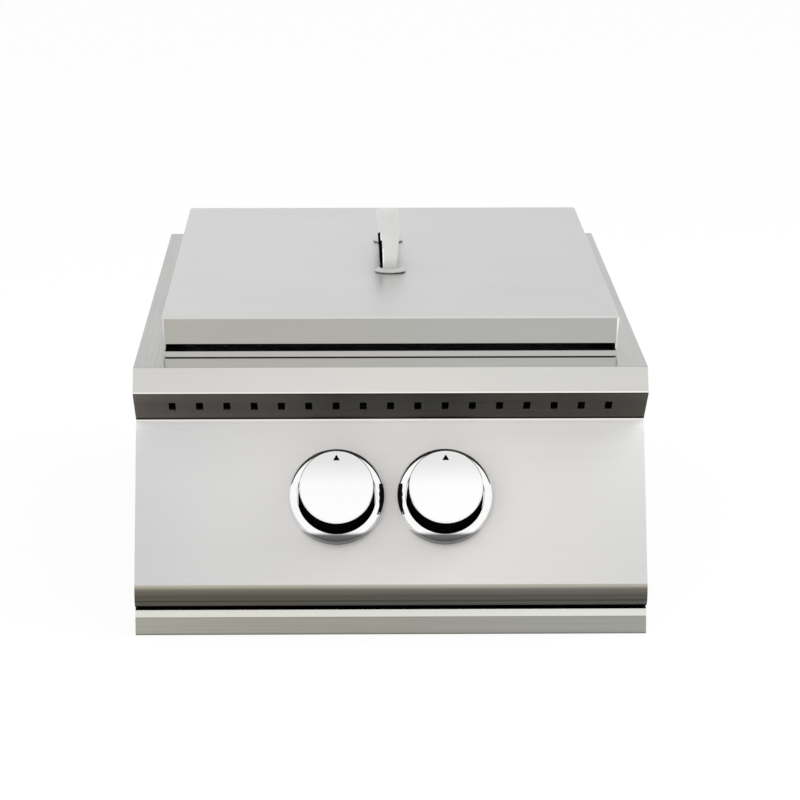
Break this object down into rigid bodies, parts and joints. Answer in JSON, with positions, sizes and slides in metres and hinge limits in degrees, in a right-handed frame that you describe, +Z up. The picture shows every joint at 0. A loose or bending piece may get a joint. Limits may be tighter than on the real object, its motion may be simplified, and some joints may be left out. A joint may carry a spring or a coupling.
{
  "type": "built-in double side burner",
  "caption": "Built-in gas side burner for a kitchen counter, with a lift-off cover, slanted control panel, push-and-turn knobs and a drip tray that slides out",
  "frame": {"origin": "on the underside of the body's floor, in the middle of its width, on the ground plane", "axes": "+X to the right as seen from the front, +Y to the back, +Z up; the knobs face -Y"},
  "size_m": [0.34, 0.6253, 0.2482],
  "materials": {
    "brushed_stainless": "fine brushed",
    "shaded_stainless": "brushed",
    "polished_chrome": "polished",
    "galvanised_steel": "galvanised",
    "stainless_rod": "satin",
    "machined_brass": "machined",
    "cast_aluminium": "as cast",
    "black_enamel": "vitreous enamel",
    "white_ceramic": "glazed",
    "red_silicone": "matt"
  },
  "bodies": {
    "root": {"deck_frame": "brushed_stainless", "front_hood": "shaded_stainless", "control_panel": "brushed_stainless", "left_cheek": "brushed_stainless", "right_cheek": "brushed_stainless", "body_shell": "galvanised_steel", "rear_panel": "galvanised_steel", "heat_shield": "galvanised_steel", "burner_pan": "brushed_stainless", "front_grate": "stainless_rod", "rear_grate": "stainless_rod", "front_burner_base": "cast_aluminium", "rear_burner_base": "cast_aluminium", "front_burner_head": "machined_brass", "rear_burner_head": "machined_brass", "front_burner_cap": "black_enamel", "rear_burner_cap": "black_enamel", "front_igniter": "white_ceramic", "rear_igniter": "white_ceramic", "front_igniter_lead": "red_silicone", "rear_igniter_lead": "red_silicone", "front_venturi": "cast_aluminium", "rear_venturi": "cast_aluminium", "manifold_pipe": "galvanised_steel", "manifold_plug": "machined_brass", "left_manifold_bracket": "galvanised_steel", "right_manifold_bracket": "galvanised_steel", "gas_elbow": "machined_brass", "feed_pipe": "galvanised_steel", "gas_inlet": "machined_brass", "left_valve": "machined_brass", "right_valve": "machined_brass", "left_orifice": "machined_brass", "right_orifice": "machined_brass", "left_piezo": "black_enamel", "right_piezo": "black_enamel", "left_bezel": "polished_chrome", "right_bezel": "polished_chrome", "left_runner": "galvanised_steel", "right_runner": "galvanised_steel"},
    "cover": {"lid": "brushed_stainless", "lid_handle": "polished_chrome"},
    "tray": {"drip_tray_front": "brushed_stainless", "drip_tray_pan": "galvanised_steel"},
    "left_washer": {"left_thrust_washer": "galvanised_steel"},
    "left_control": {"left_knob": "polished_chrome", "left_stem": "galvanised_steel"},
    "right_washer": {"right_thrust_washer": "galvanised_steel"},
    "right_control": {"right_knob": "polished_chrome", "right_stem": "galvanised_steel"},
    "front_shutter": {"front_air_shutter": "galvanised_steel"},
    "rear_shutter": {"rear_air_shutter": "galvanised_steel"}
  },
  "joints": [
    {"name": "cover_lift", "type": "slide", "parent": "root", "child": "cover", "axis": [0, 0, 1], "range_m": [0, 0.15]},
    {"name": "tray_slide", "type": "slide", "parent": "root", "child": "tray", "axis": [0, -1, 0], "range_m": [0, 0.3]},
    {"name": "left_push", "type": "slide", "parent": "root", "child": "left_washer", "axis": [0, 0.9033, -0.4289], "range_m": [0, 0.0035], "stiffness_N_per_m": 800, "springref_m": -0.006},
    {"name": "left_turn", "type": "hinge", "parent": "left_washer", "child": "left_control", "pos_m": [-0.036, -0.28179, 0.08915], "axis": [0, -0.9033, 0.4289], "range_deg": [0, 225]},
    {"name": "right_push", "type": "slide", "parent": "root", "child": "right_washer", "axis": [0, 0.9033, -0.4289], "range_m": [0, 0.0035], "stiffness_N_per_m": 800, "springref_m": -0.006},
    {"name": "right_turn", "type": "hinge", "parent": "right_washer", "child": "right_control", "pos_m": [0.036, -0.28179, 0.08915], "axis": [0, -0.9033, 0.4289], "range_deg": [0, 225]},
    {"name": "front_shutter_turn", "type": "hinge", "parent": "root", "child": "front_shutter", "pos_m": [-0.036, -0.217, 0.07028], "axis": [0, 1, 0], "range_deg": [0, 45]},
    {"name": "rear_shutter_turn", "type": "hinge", "parent": "root", "child": "rear_shutter", "pos_m": [0.036, -0.217, 0.07028], "axis": [0, 1, 0], "range_deg": [0, 45]}
  ]
}
